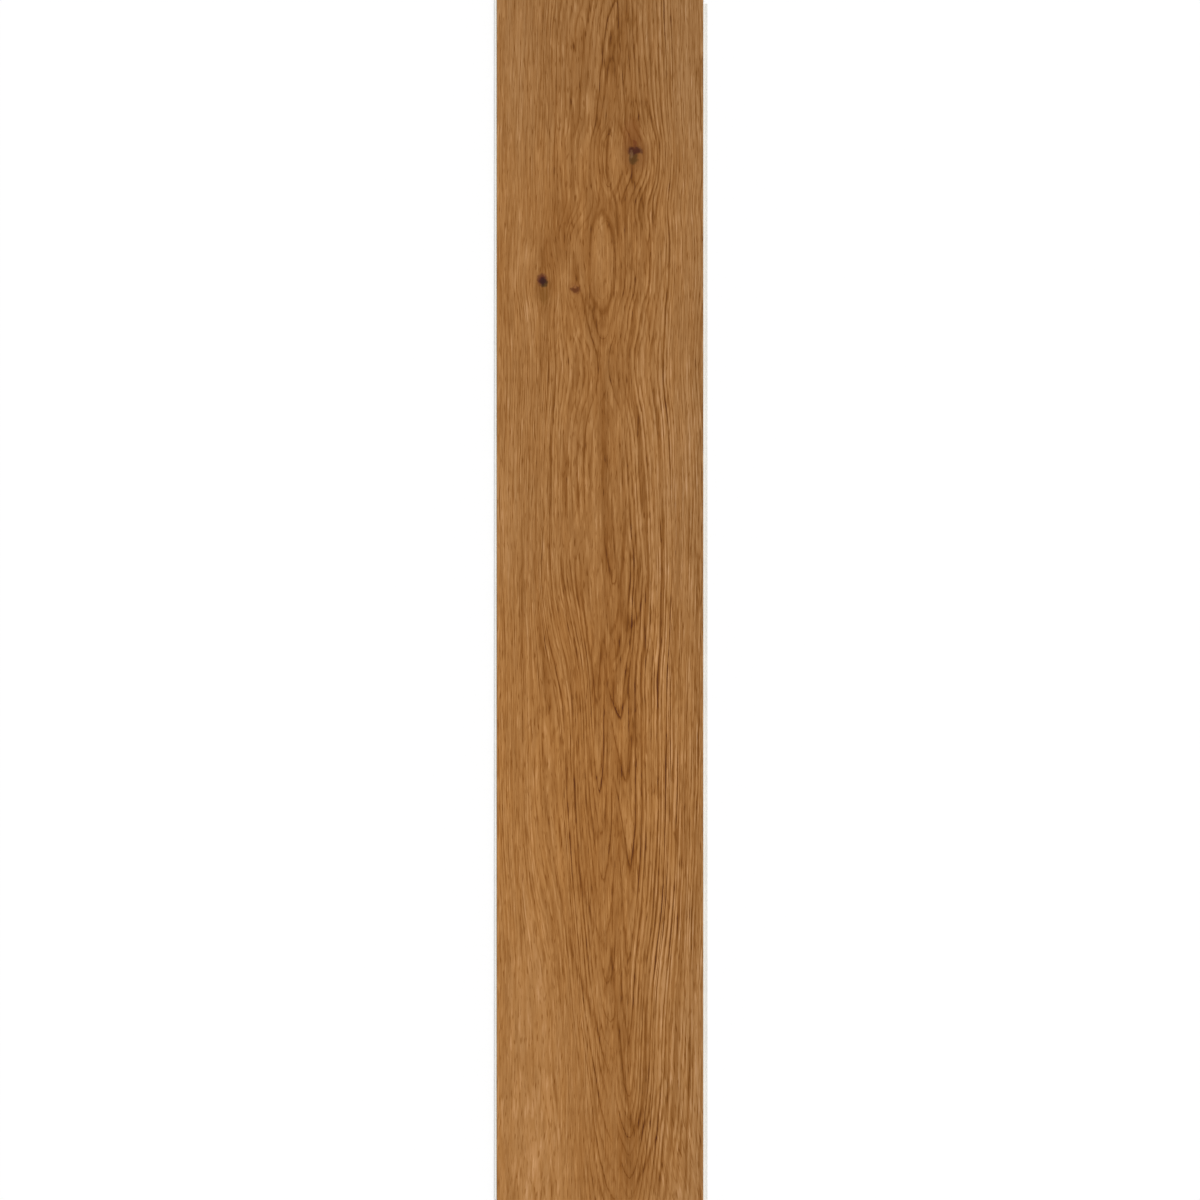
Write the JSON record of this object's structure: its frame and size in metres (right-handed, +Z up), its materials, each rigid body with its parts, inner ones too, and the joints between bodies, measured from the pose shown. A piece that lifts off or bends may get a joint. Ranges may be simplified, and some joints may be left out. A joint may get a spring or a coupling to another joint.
{
  "type": "rigid core vinyl plank",
  "caption": "Flat rigid vinyl floor plank with an embossed oak-look face, and click-lock tongue and groove edges that join it to its neighbours.",
  "frame": {"origin": "centre of the laid face's outline, on the underside", "axes": "+Y along the plank towards the end with the tongue, +X across it towards the long edge with the groove, +Z up out of the printed face"},
  "size_m": [0.216, 1.2255, 0.005],
  "materials": {
    "oak_decor_vinyl": "matt embossed oak print on the face, with the pale grey mineral-filled vinyl core bare at the edges and underside"
  },
  "bodies": {
    "root": {"plank": "oak_decor_vinyl"}
  },
  "joints": []
}
